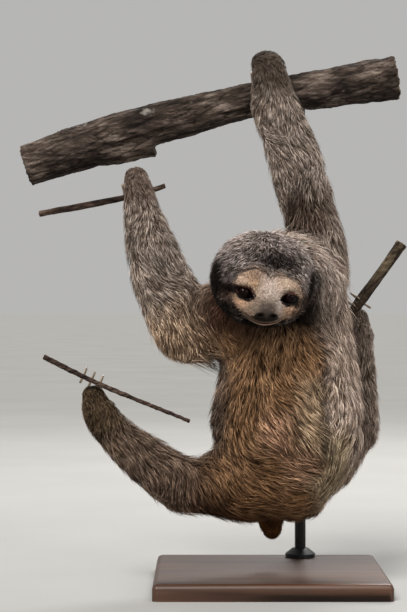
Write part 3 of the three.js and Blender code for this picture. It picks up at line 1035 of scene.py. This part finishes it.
def tuft_uvs(uvs, strands):
    """Each strand as a column of its tuft's patch, which lies at the root's place on the skin's unwrap."""
    root = np.repeat(uvs, strands, axis=0)
    columns = rng.permutation(len(root)) % strands
    uv = np.empty((len(root), CORNERS, 2))
    for k, at in enumerate(STATIONS):
        for s in range(SIDES if k < RINGS else 1):
            u = (columns + 0.15 + 0.35 * s) / strands - 0.5
            uv[:, k * SIDES + s, 0] = root[:, 0] + PATCH_SIZE * u
            uv[:, k * SIDES + s, 1] = root[:, 1] + PATCH_SIZE * (at - 0.5)
    return np.clip(uv, 0, 1)


def tufts(surface, roots, normals, uvs, strands, width, style):
    """A tuft of closed strands at each root. Gives the strands' corners, ring colours and UVs."""
    count = len(roots)
    length, depth = coat_sizes(roots)
    length = length * rng.uniform(*TUFT_LENGTHS, count) * style["length"]
    lift = np.minimum(depth * rng.uniform(*style["lift"], count), MOST_LIFT * length)
    turn = 0.22 * SWIRL(roots) * style["swirl"] + rng.normal(0, style["stray"], count)
    paths, ways, outs = comb(surface, roots, normals, length, lift, turn)
    sides = unit(np.cross(outs, ways))
    hairs = Strands(strands, width, length, depth, style)
    verts = hairs.corners(paths, ways, outs, sides)
    tones = hairs.tones(paths, ways, sides)
    brightness = 1 + style["uneven"] * rng.normal(size=count).clip(-2, 2)
    colour = hairs.colours(tones, brightness)
    return verts, colour, tuft_uvs(uvs, strands)


def spike_faces(total):
    """The closed strands' quads and triangles, for that many strands."""
    quads, ends = [], []
    for ring in range(RINGS):
        for s in range(SIDES):
            a, b = ring * SIDES + s, ring * SIDES + (s + 1) % SIDES
            if ring < RINGS - 1:
                quads.append((a, b, b + SIDES, a + SIDES))
            else:
                ends.append((a, b, CORNERS - 1))
    ends.append(tuple(reversed(range(SIDES))))
    first = np.arange(total)[:, None, None] * CORNERS
    return (np.array(quads)[None] + first).reshape(-1, 4), (np.array(ends)[None] + first).reshape(-1, 3)


def coat_piece(name, verts, colour, uv, hair):
    quads, ends = spike_faces(len(verts))
    mesh = bpy.data.meshes.new(name)
    mesh.vertices.add(len(verts) * CORNERS)
    mesh.vertices.foreach_set("co", (verts.reshape(-1, 3) * MM).ravel())
    corners = np.concatenate([quads.ravel(), ends.ravel()])
    mesh.loops.add(len(corners))
    mesh.loops.foreach_set("vertex_index", corners)
    sizes = np.concatenate([np.full(len(quads), 4), np.full(len(ends), 3)])
    starts = np.concatenate([[0], np.cumsum(sizes)[:-1]])
    mesh.polygons.add(len(sizes))
    mesh.polygons.foreach_set("loop_start", starts)
    mesh.update(calc_edges=True)
    mesh.polygons.foreach_set("use_smooth", np.ones(len(sizes), dtype=bool))
    layer = mesh.uv_layers.new(name="OFBake")
    layer.data.foreach_set("uv", uv.reshape(-1, 2)[corners].ravel())
    by_ring = np.repeat(colour, [SIDES] * RINGS + [1], axis=1)
    put_colours(mesh, "coat", by_ring.reshape(-1, 3))
    mesh.materials.append(hair)
    obj = bpy.data.objects.new(name, mesh)
    bpy.context.scene.collection.objects.link(obj)
    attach(obj, "root")


BODY = {
    "length": 1.0,  # a tuft's length as a share of the guides' length
    "lift": (0.35, 0.9),  # how far its tip stands off the skin, as shares of the coat's depth
    "swirl": 1.0,  # how strongly whole locks turn aside
    "stray": 0.12,  # how far a tuft turns aside, in radians
    "splay": 0.05,  # how far a strand turns from its tuft, in radians
    "curl": 0.03,  # how far a strand waves aside, as a share of its length
    "spread": 0.65,  # half a tuft's width, as a share of its strands laid side by side
    "gather": 0.25,  # how far the tips draw together
    "blur": 1.2,  # how far aside a strand's tone is read, in millimetres
    "pale": 0.38,  # the shares of pale and of dark strands
    "dark": 0.28,
    "uneven": 0.12,  # how much the tufts differ in brightness
    "rise": 0.14,  # how much the strands differ in height, as a share of the coat's depth
}
SHAGGY = dict(
    BODY, length=1.25, swirl=1.3, stray=0.09, splay=0.04, curl=0.04, spread=0.8, gather=0.1, blur=2.0,
    uneven=0.08,
)
NAPE = dict(
    BODY, length=1.15, lift=(0.5, 1.5), swirl=0.6, stray=0.2, splay=0.1, blur=2.0, pale=0.42, rise=0.4
)
CROWN = dict(
    BODY, length=0.85, lift=(0.6, 1.35), swirl=0.6, stray=0.3, splay=0.2, curl=0.06, blur=1.3,
    pale=0.34, dark=0.34, uneven=0.2,
)
FACE = dict(CROWN, length=1.0, lift=(0.2, 0.7), blur=0.4, pale=0.35, dark=0.12)
# Each part of the coat: its CAD nodes, strands in a tuft, a strand's width, tufts to the square millimetre.
PARTS = {
    "trunk": (["trunk", "tail"], 7, 0.95, 0.08, BODY),
    "neck": (["neck"], 5, 0.85, 0.11, NAPE),
    "arm_left": (["hand_left", "forearm_left", "upper_arm_left"], 7, 0.88, 0.086, SHAGGY),
    "arm_right": (["hand_right", "forearm_right", "upper_arm_right"], 7, 0.88, 0.086, SHAGGY),
    "leg_left": (["foot_left", "shank_left", "thigh_left"], 7, 0.92, 0.075, SHAGGY),
    "leg_right": (["foot_right", "shank_right", "thigh_right"], 7, 0.92, 0.075, SHAGGY),
    "crown": (["head"], 4, 0.84, 0.42, CROWN),
    "face": (["head"], 4, 0.48, 0.9, FACE),
}


def node_finder():
    """A function that tells which flesh node each point is nearest to."""
    verts, faces, owners = [], [], []
    for number, name in enumerate(FLESH):
        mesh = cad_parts[name].data
        base = len(verts)
        verts += places_of(mesh).tolist()
        for face in mesh.polygons:
            faces.append([base + v for v in face.vertices])
            owners.append(number)
    tree = BVHTree.FromPolygons(verts, faces)
    return lambda points: np.array([owners[tree.find_nearest(p)[2]] for p in points.tolist()])


def fineness(points):
    """How fine the strands are: 1 on the body, less on hands and feet."""
    length = coat_sizes(points)[0]
    return np.clip(length / 22, 0.35, 1.1) ** 0.6


def bare(points):
    """1 where no hair grows: eyes, nose pad, nostrils and lips."""
    q = to_head(points)
    x, z = q[:, 0], q[:, 2]
    share = step(hill(x, z, (MIDLINE, -19.5), (9.5, 7.5)), 0.35, 0.6)
    above = z - mouth_height(x)
    middle = 1 - step(np.abs(x - MIDLINE), 8, 14)
    lips = step(above, -8.4, -6.6) * (1 - step(above, 1.4 + 5 * middle, 3.4 + 5 * middle))
    share = np.maximum(share, lips * (np.abs(x - 1) < 20))
    for side in (-1, 1):
        share = np.maximum(share, 1 - step(eye_frame(q, side)[3], 1.2, 1.7))
    return share * step(-q[:, 1], 16, 22)


def density_of(part, surface, face_node, fine):
    """Tufts to the square millimetre on each of the skin's triangles."""
    nodes, _, _, per_mm2, _ = PARTS[part]
    on_part = np.isin(face_node, [FLESH.index(name) for name in nodes])
    density = np.where(on_part, per_mm2, 0) * (1 - bare(surface.middles))
    if part in ("crown", "face"):
        mask = mask_share(to_head(surface.middles))
        return density * (mask if part == "face" else 1 - mask)
    return density / fine**1.5


def make_coat(skin):
    surface = Surface(skin)
    face_node = node_finder()(surface.middles)
    hair, fine = hair_material(), fineness(surface.middles)
    for part, (_, strands, width, _, style) in PARTS.items():
        roots, normals, uvs = surface.scatter(density_of(part, surface, face_node, fine))
        keep = rng.random(len(roots)) > bare(roots)
        order = np.argsort(-roots[keep][:, 2])
        roots, normals, uvs = [values[keep][order] for values in (roots, normals, uvs)]
        size = width * (np.ones(len(roots)) if part in ("crown", "face") else fineness(roots))
        verts, colour, uv = tufts(surface, roots, normals, uvs, strands, size, style)
        pieces = math.ceil(len(verts) * STRAND_TRIANGLES / MOST_TRIANGLES)
        cuts = np.linspace(0, len(verts), pieces + 1).astype(int)
        for k in range(pieces):
            some = slice(cuts[k], cuts[k + 1])
            coat_piece(f"coat_{part}_{k + 1}", verts[some], colour[some], uv[some], hair)


# ---------------------------------------------------------------- eyes and claws


def make_eye(side, name):
    centre = (EYES[side] @ HEAD_TURN.T + HEAD_AT) * MM
    deselect()
    bpy.ops.mesh.primitive_uv_sphere_add(segments=40, ring_count=24, radius=EYE_RADIUS * MM, location=centre)
    obj = bpy.context.object
    obj.name = name + "_ball"
    bpy.ops.object.transform_apply(location=True, rotation=True, scale=True)
    smooth(obj)
    obj.data.materials.append(eye_material())
    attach(obj, "root")
    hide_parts(name)


def eye_material():
    made, tree, shader = material("eye_gloss", roughness=0.08, specular=0.06)
    tint = ramp(tree, noise_on(tree, 500, 2.0), [(0.35, (6, 2, 2)), (0.75, (20, 10, 8))])
    tree.links.new(tint, shader.inputs["Base Color"])
    return made


def horn_material():
    made, tree, shader = material("claw_horn", roughness=0.42, specular=0.45)
    grain = noise_on(tree, 260, 5.0, (1, 1, 0.35))
    tint = ramp(tree, grain, [(0.25, (84, 72, 60)), (0.55, (138, 124, 106)), (0.8, (170, 156, 138))])
    tree.links.new(tint, shader.inputs["Base Color"])
    bump(tree, shader, noise_on(tree, 900, 3.0, (1, 1, 0.2)), 0.25, 0.0004)
    return made


def make_claws():
    horn = horn_material()
    for node_name in [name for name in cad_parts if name.startswith("claw_")]:
        obj = copy_of([node_name], node_name + "_horn")
        modify(obj, "SUBSURF", levels=2, render_levels=2)
        smooth(obj)
        obj.data.materials.append(horn)
        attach(obj, "root")
        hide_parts(node_name)


# ---------------------------------------------------------------- perches


def bark_material(name, dark, mid, pale, lichen):
    """Rough bark: darker in the cracks, partly its own colour and partly painted shade, with worn pale plates
    and spots of lichen.
    """
    made, tree, shader = material(name, roughness=0.9, specular=0.15)
    grain = noise_on(tree, 130, 10.0, (0.22, 1, 1), 0.72)
    base = ramp(tree, grain, [(0.34, dark), (0.5, mid), (0.66, pale)])
    broad = ramp(tree, noise_on(tree, 16, 4.0), [(0.35, (120, 112, 108)), (0.62, (255, 255, 255))])
    spots = ramp(tree, noise_on(tree, 38, 3.0), [(0.66, (0, 0, 0)), (0.76, (200, 200, 200))])
    crack = node(tree, "Attribute", attribute_name="crack")
    # Painted shade in the cracks, on top of the bark's own darker fissures.
    shade = ramp(tree, crack.outputs["Fac"], [(0.0, (120, 108, 100)), (0.6, (255, 255, 255))])
    colour = base
    for mask in (broad, shade):
        mixed = node(tree, "Mix", data_type="RGBA", blend_type="MULTIPLY")
        mixed.inputs["Factor"].default_value = 1.0
        tree.links.new(colour, mixed.inputs["A"])
        tree.links.new(mask, mixed.inputs["B"])
        colour = mixed.outputs["Result"]
    mixed = node(tree, "Mix", data_type="RGBA")
    tree.links.new(spots, mixed.inputs["Factor"])
    tree.links.new(colour, mixed.inputs["A"])
    mixed.inputs["B"].default_value = (*linear(lichen), 1)
    tree.links.new(mixed.outputs["Result"], shader.inputs["Base Color"])
    bump(tree, shader, noise_on(tree, 260, 10.0, (0.25, 1, 1), 0.7), 1.0, 0.0016)
    return made


def cut_material():
    made, tree, shader = material("cut_wood", roughness=0.7, specular=0.3)
    tint = ramp(tree, noise_on(tree, 260, 6.0), [(0.3, (96, 78, 60)), (0.7, (136, 116, 94))])
    tree.links.new(tint, shader.inputs["Base Color"])
    bump(tree, shader, noise_on(tree, 700, 4.0), 0.3, 0.0005)
    return made


def roughen(obj, depth, size):
    """Raises plates and cracks of that depth and size, in millimetres, drawn out along the wood."""
    points, normals = places_of(obj.data), normals_of(obj.data)
    along = unit((points.max(axis=0) - points.min(axis=0))[None])[0]
    lengthwise = (points @ along)[:, None] * along
    scaled = (points - lengthwise * (1 - BARK_STRETCH)) / size
    moves, cracks = np.empty(len(points)), np.empty(len(points))
    for k, place in enumerate(scaled.tolist()):
        place = Vector(place)
        warped = place + 0.35 * noise.noise_vector(place * 1.7)
        near = noise.voronoi(warped)[0]
        cracks[k] = min((near[1] - near[0]) / 0.3, 1)
        moves[k] = noise.fractal(place * 0.8, 0.8, 2.1, 6) + 0.35 * (cracks[k] - 0.7)
    put_places(obj.data, points + normals * (depth * moves)[:, None])
    put_values(obj.data, "crack", cracks)


BARK_STRETCH = 0.13  # places along the wood count this much, which draws the bark's pattern out


def make_perch(node_name, voxel, depth, size, bark, cut):
    obj = copy_of([node_name], node_name + "_bark")
    modify(obj, "REMESH", mode="VOXEL", voxel_size=voxel * MM)
    modify(obj, "SMOOTH", factor=0.5, iterations=4)
    roughen(obj, depth, size)
    smooth(obj)
    obj.data.materials.append(bark)
    obj.data.materials.append(cut)
    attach(obj, "root")
    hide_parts(node_name)
    return obj


def mark_cut_ends(obj, margin):
    """Shows bare wood on the faces that lie within the margin of the wood's ends and look along it."""
    low, high = places_of(obj.data).min(axis=0), places_of(obj.data).max(axis=0)
    axis = int(np.argmax(high - low))
    for face in obj.data.polygons:
        middle = face.center[axis] / MM
        at_end = middle < low[axis] + margin or middle > high[axis] - margin
        face.material_index = 1 if at_end and abs(face.normal[axis]) > 0.8 else 0


def make_perches():
    bark = bark_material("bark", (28, 21, 16), (72, 61, 54), (128, 115, 106), (168, 162, 154))
    grey_bark = bark_material("grey_bark", (34, 27, 20), (76, 65, 50), (110, 97, 80), (132, 124, 112))
    twig_bark = bark_material("twig_bark", (30, 21, 18), (70, 54, 46), (112, 94, 82), (140, 126, 114))
    cut = cut_material()
    # Each call: the node, its voxel, how deep and how large the bark's plates are, its materials and margin.
    mark_cut_ends(make_perch("perch_branch", 1.5, 1.9, 6.0, bark, cut), 8)
    mark_cut_ends(make_perch("perch_side_branch", 0.9, 0.8, 5.0, grey_bark, cut), 3)
    mark_cut_ends(make_perch("perch_hand_twig", 0.6, 0.5, 4.0, twig_bark, cut), 1.5)
    mark_cut_ends(make_perch("perch_foot_twig", 0.5, 0.45, 4.0, twig_bark, cut), 1.5)


# ---------------------------------------------------------------- stand


def steel_material():
    made, tree, shader = material("black_steel", roughness=0.42, metallic=0.6)
    tint = ramp(tree, noise_on(tree, 180, 4.0), [(0.3, (26, 26, 27)), (0.7, (40, 40, 41))])
    tree.links.new(tint, shader.inputs["Base Color"])
    bump(tree, shader, noise_on(tree, 2600, 3.0), 0.25, 0.0002)
    return made


def base_material():
    made, tree, shader = material("stained_wood", roughness=0.42, specular=0.4)
    grain = noise_on(tree, 60, 8.0, (0.06, 1, 1))
    tint = ramp(tree, grain, [(0.3, (34, 21, 14)), (0.5, (62, 39, 26)), (0.72, (86, 57, 38))])
    tree.links.new(tint, shader.inputs["Base Color"])
    bump(tree, shader, noise_on(tree, 420, 6.0, (0.04, 1, 1)), 0.3, 0.0004)
    return made


def make_stand():
    steel, wood = steel_material(), base_material()
    for node_name, finish, slot in (
        ("stand_base", wood, "base_wood"),
        ("stand_rod", steel, "black_steel"),
        ("stand_collar", steel, "black_steel"),
        ("stand_clamp", steel, "black_steel"),
    ):
        obj = copy_of([node_name], node_name + "_made")
        smooth(obj, 35)
        modify(obj, "WEIGHTED_NORMAL", keep_sharp=True, weight=100)
        obj.data.materials.append(finish)
        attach(obj, "root")
        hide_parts(node_name)


# ---------------------------------------------------------------- camera, light and floor


CAMERA_AT = (-0.0632, -1.82, 0.268)
SENSOR = 36
LENS = 111.46
LIGHT_AIM = Vector((0, -0.04, 0.25))


def make_camera():
    data = bpy.data.cameras.new("camera")
    data.sensor_width, data.sensor_height = SENSOR, SENSOR
    data.lens = LENS
    data.clip_start, data.clip_end = 0.05, 100
    obj = bpy.data.objects.new("camera", data)
    obj.location = CAMERA_AT
    obj.rotation_euler = (math.radians(90), 0, 0)
    bpy.context.scene.collection.objects.link(obj)
    bpy.context.scene.camera = obj


def area_light(name, at, size, power, colour):
    data = bpy.data.lights.new(name, "AREA")
    data.shape, data.size, data.energy, data.color = "DISK", size, power, colour
    obj = bpy.data.objects.new(name, data)
    obj.location = at
    obj.rotation_mode = "QUATERNION"
    obj.rotation_quaternion = (LIGHT_AIM - Vector(at)).to_track_quat("-Z", "Y")
    bpy.context.scene.collection.objects.link(obj)


def sun_light(name, towards, strength, spread, colour):
    """Even light from one side, with shadow edges as soft as the spread, in degrees."""
    data = bpy.data.lights.new(name, "SUN")
    data.energy, data.angle, data.color = strength, math.radians(spread), colour
    obj = bpy.data.objects.new(name, data)
    obj.location = Vector(towards) * 2
    obj.rotation_mode = "QUATERNION"
    obj.rotation_quaternion = (-Vector(towards)).to_track_quat("-Z", "Y")
    bpy.context.scene.collection.objects.link(obj)


def make_studio():
    bpy.context.scene.view_settings.view_transform = "Standard"
    sun_light("key", (-0.45, -1.0, 1.05), 4.6, 24, (1.0, 0.98, 0.94))
    area_light("fill", (1.7, -1.4, 1.0), 1.4, 18, (1.0, 0.98, 0.95))
    area_light("rim", (0.5, 1.5, 1.7), 1.0, 38, (1.0, 0.99, 0.97))
    world = bpy.data.worlds.new("studio")
    world.use_nodes = True
    world.node_tree.nodes["Background"].inputs["Color"].default_value = (0.87, 0.865, 0.85, 1)
    world.node_tree.nodes["Background"].inputs["Strength"].default_value = 0.54
    bpy.context.scene.world = world
    deselect()
    bpy.ops.mesh.primitive_circle_add(vertices=64, radius=60, fill_type="NGON", location=(0, 0, 0))
    floor = bpy.context.object
    floor.name = "floor"
    bpy.ops.object.transform_apply(location=True, rotation=True, scale=True)
    made, tree, shader = material("floor", roughness=0.9, specular=0.2)
    tint = ramp(tree, noise_on(tree, 3, 2.0), [(0.3, (149, 148, 146)), (0.7, (154, 153, 151))])
    tree.links.new(tint, shader.inputs["Base Color"])
    floor.data.materials.append(made)


make_camera()
make_studio()
make_stand()
make_perches()
make_claws()
make_eye(1, "eye_left")
make_eye(-1, "eye_right")
skin = make_skin()
paint_skin(skin)
make_coat(skin)
deselect()
